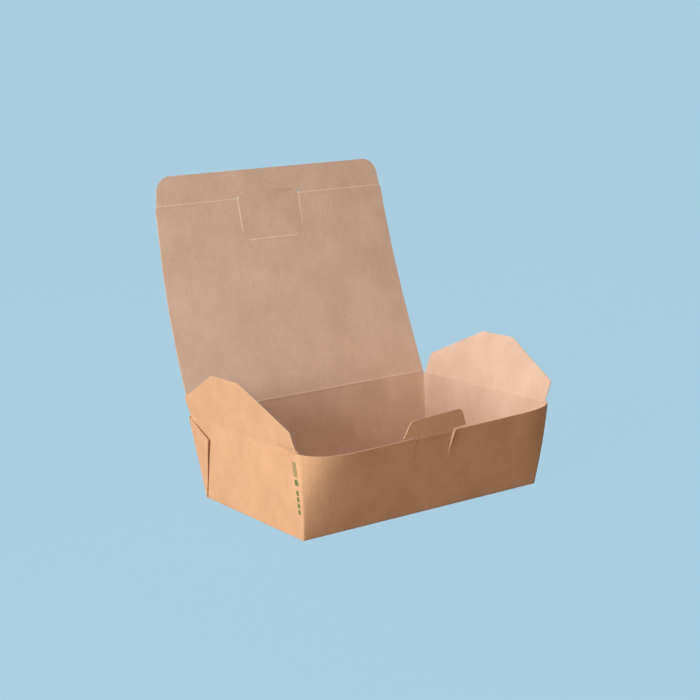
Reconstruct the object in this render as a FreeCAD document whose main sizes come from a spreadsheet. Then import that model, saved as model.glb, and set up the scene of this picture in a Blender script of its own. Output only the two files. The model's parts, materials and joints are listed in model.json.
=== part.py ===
# Takeaway box folded from one sheet of kraft board, shown with its lid standing open.
# Millimetres, +Z up, +X along the front wall, +Y to the back. The origin is the middle of the underside.
import FreeCAD, Part
import math
import os
import Sketcher

SIZES = [
    # The tray: the base, and the outside of the rim that its four walls lean out to.
    ("base_length", 197.0),
    ("base_width", 130.0),
    ("top_length", 209.0),
    ("top_width", 148.0),
    ("lid_crease_height", 62.0),
    # The sheet, and the daylight that each crease and knife cut leaves.
    ("board", 0.5),
    ("crease_gap", 0.3),
    # The front wall bows out between its corners, and its rim is cut lower there.
    ("front_bow", 12.0),
    ("front_crown", 0.6),
    ("bow_corner", 23.0),
    ("bow_corner_rise", 4.0),
    ("rim_drop", 2.2),
    ("rim_drop_start", 6.0),
    ("rim_drop_run", 9.0),
    # The folded corner of each end: a lap outside at the back and inside at the front.
    ("lap_reach", 28.0),
    ("lap_low", 48.5),
    ("lap_high", 59.5),
    ("lap_crown", 60.0),
    # The lid, its lean behind upright, its bow, and the strip that tucks in at the front.
    ("lid_depth", 151.5),
    ("lid_inset", 0.8),
    ("lid_taper", 3.2),
    ("lid_lean_angle", 16.4),
    ("lid_bow", 4.5),
    ("strip_depth", 21.6),
    ("strip_inset", 3.0),
    ("strip_taper", 3.0),
    ("strip_corner", 12.5),
    ("strip_tilt_angle", 8.8),
    # The flap that the tab pushes in, with the bump that it cuts out of the strip.
    ("slot_offset", -4.0),
    ("slot_width", 54.0),
    ("slot_length", 31.5),
    ("slot_crease", 43.0),
    ("slot_shoulder", 8.0),
    ("slot_corner", 4.0),
    ("bump_height", 4.4),
    ("bump_slope", 4.5),
    # The two end flaps and how far each leans out.
    ("flap_crease_drop", 0.85),
    ("flap_inset", 2.6),
    ("flap_shoulder", 15.2),
    ("flap_height", 40.6),
    ("flap_tip", 35.0),
    ("flap_corner", 3.0),
    ("left_lean_angle", 15.0),
    ("right_lean_angle", 24.0),
    # The lock tab on the front rim and the neck that two slits free from the wall.
    ("tab_neck", 30.0),
    ("tab_head", 52.0),
    ("tab_tip", 41.0),
    ("tab_height", 14.5),
    ("tab_corner", 5.0),
    ("tab_crease_drop", 1.2),
    ("tab_lean_angle", 12.0),
    ("slit_depth", 18.0),
    ("slit_corner", 3.0),
]

doc = FreeCAD.newDocument("TakeawayBox")
sheet = doc.addObject("Spreadsheet::Sheet", "Sizes")
for row, (word, number) in enumerate(SIZES, start=1):
    sheet.set(f"A{row}", word)
    sheet.set(f"B{row}", str(number))
    sheet.setAlias(f"B{row}", word)
doc.recompute()


class Term:
    """A number worked out from the sheet, kept together with the expression that works it out."""

    def __init__(self, value, text):
        self.value = value
        self.text = text

    def __add__(self, other):
        other = term(other)
        return Term(self.value + other.value, f"({self.text} + {other.text})")

    def __sub__(self, other):
        other = term(other)
        return Term(self.value - other.value, f"({self.text} - {other.text})")

    def __mul__(self, other):
        other = term(other)
        return Term(self.value * other.value, f"({self.text} * {other.text})")

    def __truediv__(self, other):
        other = term(other)
        return Term(self.value / other.value, f"({self.text} / {other.text})")

    def __neg__(self):
        return Term(-self.value, f"(0 - {self.text})")


def term(number):
    return number if isinstance(number, Term) else Term(float(number), repr(float(number)))


def size(word):
    """The named cell of the sheet."""
    return Term(float(sheet.get(word)), f"Sizes.{word}")


def sine(angle):
    return Term(math.sin(math.radians(angle.value)), f"sin({angle.text} * 1 deg)")


def cosine(angle):
    return Term(math.cos(math.radians(angle.value)), f"cos({angle.text} * 1 deg)")


# A quarter turn in degrees.
UPRIGHT = 90


def bearing(rise, run):
    """The angle in degrees of a slope with that rise over that run."""
    return Term(math.degrees(math.atan2(rise.value, run.value)), f"(atan({rise.text} / {run.text}) / 1 deg)")


def slant(opposite, longest):
    """The angle in degrees whose sine is the opposite side over the longest one."""
    ratio = opposite / longest
    return Term(math.degrees(math.asin(ratio.value)), f"(asin({ratio.text}) / 1 deg)")


def arc_radius(chord, rise):
    """The radius of the arc that rises that far over that chord."""
    return (chord * chord / 4 + rise * rise) / (rise * 2)


def place(thing, base, yaw=0, pitch=0, roll=0):
    """Binds a placement to the sheet: a point, then turns about Z, Y and X."""
    point = "; ".join(term(part).text for part in base)
    turns = "; ".join(term(angle).text for angle in (yaw, pitch, roll))
    thing.setExpression("Placement", f"create(<<placement>>; vector({point}); rotation({turns}))")


def add_edges(sketch, corners):
    """One closed loop. A corner is (across, up), or (across, up, radius) where an arc leads on from it,
    turning left for a positive radius and right for a negative one."""
    points = [FreeCAD.Vector(corner[0].value, corner[1].value, 0) for corner in corners]
    ends = []
    for index, corner in enumerate(corners):
        start = points[index]
        stop = points[(index + 1) % len(points)]
        if len(corner) == 2:
            edge = sketch.addGeometry(Part.LineSegment(start, stop), False)
            ends.append((edge, 1, 2))
            continue
        radius = corner[2].value
        chord = stop - start
        rise = abs(radius) - math.sqrt(max(radius * radius - chord.Length ** 2 / 4, 0.0))
        outward = FreeCAD.Vector(chord.y, -chord.x, 0).normalize()
        middle = (start + stop) / 2 + outward * math.copysign(rise, radius)
        # A sketch keeps every arc anticlockwise, so one that turns right is drawn from its far end.
        if radius > 0:
            edge = sketch.addGeometry(Part.Arc(start, middle, stop), False)
            ends.append((edge, 1, 2))
        else:
            edge = sketch.addGeometry(Part.Arc(stop, middle, start), False)
            ends.append((edge, 2, 1))
    for index, corner in enumerate(corners):
        edge, first, last = ends[index]
        following = ends[(index + 1) % len(ends)]
        sketch.addConstraint(Sketcher.Constraint("Coincident", edge, last, following[0], following[1]))
        for kind, distance in (("DistanceX", corner[0]), ("DistanceY", corner[1])):
            number = sketch.addConstraint(Sketcher.Constraint(kind, edge, first, distance.value))
            sketch.setExpression(f"Constraints[{number}]", distance.text)
        if len(corner) == 3:
            number = sketch.addConstraint(Sketcher.Constraint("Radius", edge, abs(corner[2].value)))
            radius = corner[2] if corner[2].value > 0 else -corner[2]
            sketch.setExpression(f"Constraints[{number}]", radius.text)


def new_sketch(body, name, role, loops, lift=None):
    """A sketch on one of the body's own planes, lifted off it where asked."""
    sketch = body.newObject("Sketcher::SketchObject", name)
    plane = [item for item in body.Origin.OriginFeatures if item.Role == role][0]
    sketch.AttachmentSupport = [(plane, "")]
    sketch.MapMode = "FlatFace"
    if lift is not None:
        sketch.setExpression("AttachmentOffset.Base.z", lift.text)
    for corners in loops:
        add_edges(sketch, corners)
    return sketch


def new_body(name):
    body = doc.addObject("PartDesign::Body", name)
    body.Label = name
    return body


def pad(body, name, sketch, length, midplane=True):
    feature = body.newObject("PartDesign::Pad", name)
    feature.Profile = sketch
    feature.setExpression("Length", length.text)
    feature.Midplane = midplane
    return feature


def pocket(body, name, sketch, length=None, midplane=False, turned=False):
    """Cuts the sketch away: right through both ways, or to a length."""
    feature = body.newObject("PartDesign::Pocket", name)
    feature.Profile = sketch
    feature.Midplane = midplane
    feature.Reversed = turned
    if length is None:
        feature.Type = "ThroughAll"
    else:
        feature.setExpression("Length", length.text)
    return feature


def bead(body, name, span):
    """The rounded edge that turns in a crease: a rod of the board's own thickness along the hinge line."""
    rod = body.newObject("PartDesign::AdditiveCylinder", name)
    rod.setExpression("Radius", (size("board") / 2).text)
    rod.setExpression("Height", span.text)
    place(rod, (-span / 2, 0, 0), pitch=UPRIGHT)
    return rod


def round_corners(body, name, radius, spots):
    """Rounds the upright edges of the last feature that stand at those spots."""
    doc.recompute()
    base = body.Tip
    found = []
    for number, edge in enumerate(base.Shape.Edges, start=1):
        if len(edge.Vertexes) < 2:
            continue
        first, last = (vertex.Point for vertex in edge.Vertexes[:2])
        upright = math.hypot(first.x - last.x, first.y - last.y) < 1e-6
        for across, up in spots:
            if upright and math.hypot(first.x - across.value, first.y - up.value) < 1e-4:
                found.append(f"Edge{number}")
    if len(found) != len(spots):
        raise RuntimeError(f"{name}: {len(found)} corners found, {len(spots)} wanted")
    feature = body.newObject("PartDesign::Fillet", name)
    feature.Base = (base, found)
    feature.setExpression("Radius", radius.text)
    return feature


board = size("board")
gap = size("crease_gap")
# A panel starts half a board past its hinge line, less the bead, and its neighbour ends this far before it.
setback = board / 2 + gap
wall_top = size("lid_crease_height") - setback
flap_crease = size("lid_crease_height") - size("flap_crease_drop")
rim_middle = wall_top - size("rim_drop")
tab_crease = rim_middle - size("tab_crease_drop")
# The front wall's middle stands this far out at the wall top.
front_reach = size("top_width") / 2 + size("front_bow")


def rim_loop(inset, length, width, bow):
    """The tray seen from above at one level: straight back and ends, and a front in three stretches."""
    half = length / 2 - inset
    back = width / 2 - inset
    knee = length / 2 - size("bow_corner") * length / size("top_length")
    if bow is None:
        front = -(width / 2 - inset)
        return [(-half, front), (-knee, front), (knee, front), (half, front), (half, back), (-half, back)]
    corner = -(width / 2 - inset)
    front = -(width / 2 + bow - size("front_crown") - inset)
    run = half - knee
    rise = corner - front
    chord = Term(math.hypot(run.value, rise.value), f"sqrt({(run * run + rise * rise).text})")
    turn = arc_radius(chord, size("bow_corner_rise"))
    crown = arc_radius(knee * 2, size("front_crown"))
    return [
        (-half, corner, turn),
        (-knee, front, crown),
        (knee, front, turn),
        (half, corner),
        (half, back),
        (-half, back),
    ]


def build_tray():
    """The base, the four leaning walls, the folded corners and the tab's neck, in one piece."""
    body = new_body("tray")
    none = term(0)
    outer_low = new_sketch(body, "outer_low", "XY_Plane",
                           [rim_loop(none, size("base_length"), size("base_width"), None)])
    outer_rim = rim_loop(none, size("top_length"), size("top_width"), size("front_bow"))
    outer_high = new_sketch(body, "outer_high", "XY_Plane", [outer_rim], wall_top)
    block = body.newObject("PartDesign::AdditiveLoft", "folded_block")
    block.Profile = outer_low
    block.Sections = [outer_high]
    block.Ruled = True
    # One board up, the leaning walls already stand this much further apart.
    rise = board / wall_top
    low_length = size("base_length") + (size("top_length") - size("base_length")) * rise
    low_width = size("base_width") + (size("top_width") - size("base_width")) * rise
    inner_foot = rim_loop(board, low_length, low_width, None)
    inner_low = new_sketch(body, "inner_low", "XY_Plane", [inner_foot], board)
    inner_rim = rim_loop(board, size("top_length"), size("top_width"), size("front_bow"))
    inner_high = new_sketch(body, "inner_high", "XY_Plane", [inner_rim], wall_top)
    hollow = body.newObject("PartDesign::SubtractiveLoft", "hollow")
    hollow.Profile = inner_low
    hollow.Sections = [inner_high]
    hollow.Ruled = True
    add_laps(body)
    cut_end_walls(body)
    cut_front_rim(body)
    return body


def add_laps(body):
    """The folded corners, each a doubled board: outside the end wall at the back, inside it at the front."""
    lean = bearing((size("top_length") - size("base_length")) / 2, wall_top)
    slope = wall_top / cosine(lean)
    base = size("base_width") / 2
    rim = size("top_width") / 2
    high = slope * size("lap_high") / wall_top
    low = slope * size("lap_low") / wall_top
    corner_high = base + (rim - base) * size("lap_high") / wall_top
    corner_low = base + (rim - base) * board / wall_top
    tip = rim - size("lap_reach")
    fold = board * 2
    # Each sketch lies in the left end wall's plane: across runs to the front, up runs up the wall, and its
    # face looks outward. The laps' feet stand one board above the underside.
    loops = {
        "back_lap": [(-corner_low, board), (-corner_high, high, -size("lap_crown")), (-tip, low)],
        "front_lap": [(corner_low, board), (corner_high, high), (tip, low)],
    }
    pads = []
    for name, corners in loops.items():
        sketch = body.newObject("Sketcher::SketchObject", name + "_outline")
        inward = board if name == "front_lap" else term(0)
        # The board is measured level, so the inner face stands one board inward of the outer one.
        place(sketch, (-(size("base_length") / 2) + inward, 0, 0), yaw=-UPRIGHT, roll=lean + UPRIGHT)
        add_edges(sketch, corners)
        lap = pad(body, name, sketch, fold, midplane=False)
        lap.Reversed = name == "front_lap"
        pads.append(lap)
    doc.recompute()
    mirror = body.newObject("PartDesign::Mirrored", "right_hand_laps")
    mirror.Originals = pads
    side = [item for item in body.Origin.OriginFeatures if item.Role == "YZ_Plane"][0]
    mirror.MirrorPlane = (side, [""])
    body.Tip = mirror


def cut_end_walls(body):
    """The end walls stop below the flap creases, between the flap's two ends."""
    low = flap_crease - setback
    high = size("lid_crease_height") * 2
    side = size("top_width") / 2 - size("flap_inset") + gap
    # On this plane across runs along +Y and up along +Z.
    corners = [(-side, low), (side, low), (side, high), (-side, high)]
    sketch = new_sketch(body, "end_wall_cut", "YZ_Plane", [corners])
    pocket(body, "end_wall_tops", sketch, midplane=True)


def cut_front_rim(body):
    """The lower rim between the corners, the two slits beside the neck and the neck's top."""
    start = size("top_length") / 2 - size("rim_drop_start")
    end = start - size("rim_drop_run")
    middle = size("slot_offset")
    neck = size("tab_neck") / 2
    side = neck + gap
    mouth = side + size("slit_corner")
    shoulder = rim_middle - size("slit_corner")
    bottom = tab_crease - size("slit_depth")
    neck_top = tab_crease - setback
    high = size("lid_crease_height") * 2
    turn = size("slit_corner")
    loop = [
        (-start, high),
        (-start, wall_top),
        (-end, rim_middle),
        (middle - mouth, rim_middle, -turn),
        (middle - side, shoulder),
        (middle - side, bottom),
        (middle - neck, bottom),
        (middle - neck, neck_top),
        (middle + neck, neck_top),
        (middle + neck, bottom),
        (middle + side, bottom),
        (middle + side, shoulder, -turn),
        (middle + mouth, rim_middle),
        (end, rim_middle),
        (start, wall_top),
        (start, high),
    ]
    # On this plane across runs along +X and up along +Z, and its face looks to the front.
    sketch = new_sketch(body, "front_rim_cut", "XZ_Plane", [loop])
    pocket(body, "front_rim", sketch, front_reach * 2, turned=True)


def build_lid():
    """The lid: a gently bowed panel with a notch at its front edge for the slot flap."""
    body = new_body("lid")
    depth = size("lid_depth")
    bow = size("lid_bow")
    radius = arc_radius(depth, bow)
    # The arc's ends lean by this angle, and its section has across as depth and up as the inside.
    lean = slant(depth / 2, radius)
    half_x = sine(lean) * board / 2
    half_z = cosine(lean) * board / 2
    section = [
        (-half_x, -half_z, radius + board / 2),
        (depth + half_x, -half_z),
        (depth - half_x, half_z, -(radius - board / 2)),
        (half_x, half_z),
    ]
    profile = new_sketch(body, "lid_section", "YZ_Plane", [section])
    rear = size("top_length") / 2 - size("lid_inset")
    pad(body, "lid_panel", profile, rear * 2)
    front = rear - size("lid_taper")
    outer = size("top_length")
    edge = depth - setback
    beyond = depth * 2
    slot = size("slot_width") / 2 + gap
    crease = size("slot_crease") / 2 + gap
    middle = size("slot_offset")
    hinge = edge + setback - size("slot_length") - setback
    shoulder = hinge + size("slot_shoulder")
    waste = [
        (outer, term(0)),
        (outer, beyond),
        (-outer, beyond),
        (-outer, term(0)),
        (-rear, term(0)),
        (-front, edge),
        (middle - slot, edge),
        (middle - slot, shoulder),
        (middle - crease, hinge),
        (middle + crease, hinge),
        (middle + slot, shoulder),
        (middle + slot, edge),
        (front, edge),
        (rear, term(0)),
    ]
    trim = new_sketch(body, "lid_outline", "XY_Plane", [waste])
    pocket(body, "lid_trim", trim, midplane=True)
    bead(body, "lid_bead", rear * 2)
    hinge_y = size("top_width") / 2 - board / 2
    place(body, (0, hinge_y, size("lid_crease_height")), roll=term(UPRIGHT) - size("lid_lean_angle"))
    return body


def flat_panel(name, corners, rounded, radius, span, notch=None):
    """A flat flap in its own plane, across along the hinge line, with a bead on the hinge."""
    body = new_body(name)
    outline = new_sketch(body, name + "_outline", "XY_Plane", [corners])
    pad(body, name + "_panel", outline, board)
    round_corners(body, name + "_corners", radius, rounded)
    bead(body, name + "_bead", span)
    if notch:
        cut = new_sketch(body, name + "_notch_outline", "XY_Plane", [notch])
        pocket(body, name + "_notch", cut, midplane=True)
    return body


def build_tuck_flap():
    """The strip along the lid's front edge, notched where the slot flap's bump is cut out of it."""
    half = size("top_length") / 2 - size("lid_inset") - size("lid_taper") - size("strip_inset")
    tip = half - size("strip_taper")
    depth = size("strip_depth")
    corners = [(-half, term(0)), (half, term(0)), (tip, depth), (-tip, depth)]
    middle = size("slot_offset")
    slot = size("slot_width") / 2 + gap
    bump = size("bump_height") + gap
    low = -board
    notch = [
        (middle - slot, low),
        (middle + slot, low),
        (middle + slot, term(0)),
        (middle + slot - size("bump_slope"), bump),
        (middle - slot + size("bump_slope"), bump),
        (middle - slot, term(0)),
    ]
    body = flat_panel("tuck_flap", corners, corners[2:], size("strip_corner"), half * 2, notch)
    lean = size("lid_lean_angle")
    hinge_y = size("top_width") / 2 - board / 2 + sine(lean) * size("lid_depth")
    hinge_z = size("lid_crease_height") + cosine(lean) * size("lid_depth")
    place(body, (0, hinge_y, hinge_z), roll=term(UPRIGHT) - lean + size("strip_tilt_angle"))
    return body


def build_slot_flap():
    """The flap in the lid's front edge that the tab pushes in, with a bump past the crease."""
    crease = size("slot_crease") / 2
    half = size("slot_width") / 2
    length = size("slot_length")
    tip = half - size("bump_slope")
    top = length + size("bump_height")
    shoulder = size("slot_shoulder")
    corners = [
        (-crease, term(0)),
        (crease, term(0)),
        (half, shoulder),
        (half, length),
        (tip, top),
        (-tip, top),
        (-half, length),
        (-half, shoulder),
    ]
    rounded = [corners[2], corners[7]]
    body = flat_panel("slot_flap", corners, rounded, size("slot_corner"), crease * 2)
    # Its hinge lies on the bowed lid, this deep behind the straight line from crease to crease.
    depth = size("lid_depth")
    along = depth - length
    share = along * 2 / depth - 1
    behind = size("lid_bow") * (term(1) - share * share)
    lean = size("lid_lean_angle")
    hinge_y = size("top_width") / 2 - board / 2 + sine(lean) * along + cosine(lean) * behind
    hinge_z = size("lid_crease_height") + cosine(lean) * along - sine(lean) * behind
    place(body, (size("slot_offset"), hinge_y, hinge_z), roll=term(UPRIGHT) - lean + bearing(behind, length))
    return body


def build_end_flap(name, side, lean):
    """An end flap: square up to its shoulders, then cut back to its tip."""
    half = size("top_width") / 2 - size("flap_inset")
    tip = size("flap_tip") / 2
    shoulder = size("flap_shoulder")
    height = size("flap_height")
    corners = [
        (-half, term(0)),
        (half, term(0)),
        (half, shoulder),
        (tip, height),
        (-tip, height),
        (-half, shoulder),
    ]
    body = flat_panel(name, corners, corners[2:], size("flap_corner"), half * 2)
    hinge_x = (size("top_length") / 2 - board / 2) * side
    place(body, (hinge_x, 0, flap_crease), yaw=UPRIGHT * side, roll=lean + UPRIGHT)
    return body


def build_lock_tab():
    """The tab's head: as wide as its neck at the crease, with a barb on each side just above the rim."""
    neck = size("tab_neck") / 2
    barb = size("tab_head") / 2
    tip = size("tab_tip") / 2
    height = size("tab_height")
    low = size("tab_crease_drop") + gap
    corners = [
        (-neck, term(0)),
        (neck, term(0)),
        (neck, low),
        (barb, low),
        (tip, height),
        (-tip, height),
        (-barb, low),
        (-neck, low),
    ]
    body = flat_panel("lock_tab", corners, corners[4:6], size("tab_corner"), neck * 2)
    reach = size("base_width") / 2 + (front_reach - size("base_width") / 2) * tab_crease / wall_top
    hinge_y = board / 2 - reach
    place(body, (size("slot_offset"), hinge_y, tab_crease), roll=term(UPRIGHT) + size("tab_lean_angle"))
    return body


pieces = [
    build_tray(),
    build_lid(),
    build_tuck_flap(),
    build_slot_flap(),
    build_end_flap("left_end_flap", -1, size("left_lean_angle")),
    build_end_flap("right_end_flap", 1, size("right_lean_angle")),
    build_lock_tab(),
]
doc.recompute()
for item in doc.Objects:
    if "Invalid" in item.State or "Error" in item.State:
        raise RuntimeError(f"{item.Label} failed: {item.State}")
os.makedirs("parts", exist_ok=True)
for piece in pieces:
    if piece.Shape.isNull() or not piece.Shape.isValid() or len(piece.Shape.Solids) != 1:
        raise RuntimeError(f"{piece.Label} is not one valid solid")
    piece.Shape.exportStep(f"parts/{piece.Label}.step")
    print(piece.Label, round(piece.Shape.Volume, 1), "mm3")
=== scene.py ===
"""Takeaway box of unbleached kraft board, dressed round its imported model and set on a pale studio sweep."""

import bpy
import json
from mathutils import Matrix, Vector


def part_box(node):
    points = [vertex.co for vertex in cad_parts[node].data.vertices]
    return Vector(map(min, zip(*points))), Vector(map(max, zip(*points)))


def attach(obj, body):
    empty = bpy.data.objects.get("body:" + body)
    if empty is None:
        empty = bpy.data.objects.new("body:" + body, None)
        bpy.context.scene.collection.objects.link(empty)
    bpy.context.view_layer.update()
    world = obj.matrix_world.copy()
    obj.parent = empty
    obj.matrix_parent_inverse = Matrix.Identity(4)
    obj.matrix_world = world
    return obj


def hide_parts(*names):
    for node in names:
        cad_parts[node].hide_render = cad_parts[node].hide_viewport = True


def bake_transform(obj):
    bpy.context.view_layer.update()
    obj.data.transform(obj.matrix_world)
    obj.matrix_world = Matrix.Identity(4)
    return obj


bl_info = {
    "name": "Takeaway box",
    "version": (1, 0, 0),
    "blender": (4, 5, 0),
    "location": "3D View > Sidebar > Takeaway box",
    "description": "Builds a folded kraft board food box with a hinged lid, end flaps and a lock tab",
    "category": "Object",
}

import json
import math

import bpy
import numpy as np
from mathutils import Matrix, Vector

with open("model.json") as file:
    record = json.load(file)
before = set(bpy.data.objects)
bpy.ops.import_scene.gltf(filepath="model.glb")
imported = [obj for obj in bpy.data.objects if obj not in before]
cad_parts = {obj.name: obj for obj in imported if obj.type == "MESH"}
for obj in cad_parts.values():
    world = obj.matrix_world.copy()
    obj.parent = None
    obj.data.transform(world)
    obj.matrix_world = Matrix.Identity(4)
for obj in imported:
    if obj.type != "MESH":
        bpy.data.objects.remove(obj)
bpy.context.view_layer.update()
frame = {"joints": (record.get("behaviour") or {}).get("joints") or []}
MM = 0.001
HINGES = {joint["name"]: np.array(joint["pos_m"]) for joint in frame["joints"]}
LID_HINGE = HINGES["lid_crease"]
STRIP_HINGE = HINGES["tuck_flap_crease"]
SLOT_HINGE = HINGES["slot_flap_crease"]
TAB_HINGE = HINGES["lock_tab_crease"]
LEFT_HINGE = HINGES["left_end_flap_crease"]
RIGHT_HINGE = HINGES["right_end_flap_crease"]
X_AXIS = np.array([1.0, 0, 0])
Y_AXIS = np.array([0, 1.0, 0])

# The walls reach their full flare at the tray's highest level, just under the lid's crease.
WALL_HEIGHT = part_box("tray")[1][2]

OUTSIDE, INSIDE, EDGE = 0, 1, 2


class BoxSizes(bpy.types.PropertyGroup):
    """The box's sizes as the folded board shows them."""

    board: bpy.props.FloatProperty(
        name="Board", description="Thickness of the board", default=0.5 * MM, unit="LENGTH")
    base_length: bpy.props.FloatProperty(
        name="Base length", description="Length of the base", default=197 * MM, unit="LENGTH")
    base_width: bpy.props.FloatProperty(
        name="Base width", description="Width of the base", default=130 * MM, unit="LENGTH")
    top_length: bpy.props.FloatProperty(
        name="Top length", description="Length over the end walls' tops", default=209 * MM, unit="LENGTH")
    top_width: bpy.props.FloatProperty(
        name="Top width", description="Width over the front corners and the lid's crease",
        default=148 * MM, unit="LENGTH")
    front_bow: bpy.props.FloatProperty(
        name="Front bow", description="How far the front rim bows out in its middle",
        default=11.8 * MM, unit="LENGTH")
    bow_tilt: bpy.props.FloatProperty(
        name="Bow tilt", description="How much more it bows on the left than on the right",
        default=2.5 * MM, unit="LENGTH")
    rim_drop: bpy.props.FloatProperty(
        name="Rim drop", description="How far the front rim lies under its corners",
        default=2.4 * MM, unit="LENGTH")
    rim_drop_tilt: bpy.props.FloatProperty(
        name="Rim drop tilt", description="How much higher it lies on the right than on the left",
        default=0.8 * MM, unit="LENGTH")
    lid_bow: bpy.props.FloatProperty(
        name="Lid bow", description="How far the lid's middle bows back", default=4.5 * MM, unit="LENGTH")
    crease_reach: bpy.props.FloatProperty(
        name="Crease reach", description="Board that bends on each side of a crease",
        default=1.4 * MM, unit="LENGTH")
    lap_lift: bpy.props.FloatProperty(
        name="Lap lift", description="How far the back laps' free edges stand off the end walls",
        default=1.3 * MM, unit="LENGTH")
    strip_tilt: bpy.props.FloatProperty(
        name="Strip tilt", description="Lean of the tuck strip in front of the lid",
        default=math.radians(8.8), subtype="ANGLE")
    left_lean: bpy.props.FloatProperty(
        name="Left lean", description="Outward lean of the left end flap",
        default=math.radians(15), subtype="ANGLE")
    right_lean: bpy.props.FloatProperty(
        name="Right lean", description="Outward lean of the right end flap",
        default=math.radians(24), subtype="ANGLE")
    tab_lean: bpy.props.FloatProperty(
        name="Tab lean", description="Outward lean of the lock tab's head",
        default=math.radians(11), subtype="ANGLE")
    grid_step: bpy.props.FloatProperty(
        name="Grid step", description="Spacing of the surface grid", default=2.5 * MM, unit="LENGTH")


def srgb(code):
    """An sRGB hex colour as linear RGBA: each channel is undone by the standard's two-part curve."""
    channels = np.array([int(code[k:k + 2], 16) for k in (1, 3, 5)]) / 255
    linear = np.where(channels <= 0.04045, channels / 12.92, ((channels + 0.055) / 1.055) ** 2.4)
    return (*linear.tolist(), 1.0)


class BoxColours(bpy.types.PropertyGroup):
    """The board's and the stage's colours."""

    outside: bpy.props.FloatVectorProperty(
        name="Outside", description="Kraft face outside the box",
        default=srgb("#D9AC84"), subtype="COLOR", size=4)
    inside: bpy.props.FloatVectorProperty(
        name="Inside", description="Kraft face inside the box",
        default=srgb("#DEC1AC"), subtype="COLOR", size=4)
    edge: bpy.props.FloatVectorProperty(
        name="Cut edge", description="Bare fibres of a cut edge",
        default=srgb("#DFBF9F"), subtype="COLOR", size=4)
    crease: bpy.props.FloatVectorProperty(
        name="Crease", description="Broken fibres along a crease",
        default=srgb("#F2DDC8"), subtype="COLOR", size=4)
    ink: bpy.props.FloatVectorProperty(
        name="Ink", description="Green ink of the small printed mark",
        default=srgb("#4C6E2C"), subtype="COLOR", size=4)
    stage: bpy.props.FloatVectorProperty(
        name="Stage", description="Pale floor and backdrop",
        default=srgb("#ACD0E2"), subtype="COLOR", size=4)


def sizes():
    """The sizes that the scene holds."""
    return bpy.context.scene.takeaway_sizes


def colours():
    """The colours that the scene holds."""
    return bpy.context.scene.takeaway_colours


# Lines and sheets of board.

NEARLY_STRAIGHT = 1e-4
CLOSEST_ROWS = 0.05 * MM
ROW_DIGITS = 7
SHORTEST_NORMAL = 1e-12
WAVES = 4
WAVE_LENGTHS = (60, 150)


def link(obj):
    """Puts an object in the scene and gives it back."""
    bpy.context.scene.collection.objects.link(obj)
    return obj


def smooth(value):
    """Eases 0 to 1 without a corner at either end: 3 t squared less 2 t cubed."""
    held = np.clip(value, 0, 1)
    return held * held * (3 - 2 * held)


def unit(vector):
    """A vector divided by its length."""
    return np.asarray(vector, float) / np.linalg.norm(vector)


def rounded(corners, radii, steps=7):
    """A line through the corners with each one rounded: an arc tangent to both sides, by its angle at the
    centre."""
    corners = np.array(corners, float)
    made = [corners[:1]]
    for index in range(1, len(corners) - 1):
        radius = radii[index - 1]
        before = unit(corners[index - 1] - corners[index])
        after = unit(corners[index + 1] - corners[index])
        half = math.acos(float(np.clip(before @ after, -1, 1))) / 2
        if radius <= 0 or half > math.pi / 2 - NEARLY_STRAIGHT:
            made.append(corners[index:index + 1])
            continue
        reach = radius / math.tan(half)
        centre = corners[index] + unit(before + after) * radius / math.sin(half)
        start = corners[index] + before * reach - centre
        stop = corners[index] + after * reach - centre
        turn = math.atan2(start[0] * stop[1] - start[1] * stop[0], float(start @ stop))
        angles = np.linspace(0, turn, steps)[:, None]
        made.append(centre + start * np.cos(angles) + np.array([-start[1], start[0]]) * np.sin(angles))
    made.append(corners[-1:])
    return np.concatenate(made)


def row_values(first, last, step, extra=()):
    """Rows from first to last at about the step, with the extra rows put in and rows that are too close
    left out."""
    count = max(2, int(round((last - first) / step)) + 1)
    between = np.array([value for value in extra if first < value < last])
    rows = np.concatenate([np.linspace(first, last, count), between])
    rows = np.unique(np.round(rows, ROW_DIGITS))
    keep = np.concatenate([[True], np.diff(rows) > CLOSEST_ROWS])
    keep[-1] = True
    return rows[keep]


def bend(distance, corner, before, after, reach):
    """A point at a signed distance along a line that turns at the corner: straight before and after it, and
    a quadratic curve between the two points that lie one reach away."""
    distance = distance[..., None]
    reach = np.broadcast_to(reach, distance.shape)
    share = np.clip((distance + reach) / (2 * reach), 0, 1)
    curve = (corner - before * reach) * (1 - share) ** 2 + corner * 2 * share * (1 - share)
    curve = curve + (corner + after * reach) * share ** 2
    straight = corner + np.where(distance < 0, before, after) * distance
    return np.where(np.abs(distance) < reach, curve, straight)


def waviness(across, along, seed, depth):
    """Slight unevenness of a board panel: four slow waves of mixed direction and phase, added up."""
    chance = np.random.default_rng(seed)
    total = np.zeros(np.broadcast(across, along).shape)
    for _ in range(WAVES):
        length = chance.uniform(*WAVE_LENGTHS) * MM
        angle = chance.uniform(0, math.pi)
        phase = chance.uniform(0, 2 * math.pi)
        distance = across * math.cos(angle) + along * math.sin(angle)
        total = total + np.sin(distance * 2 * math.pi / length + phase)
    return total * depth / WAVES


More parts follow.
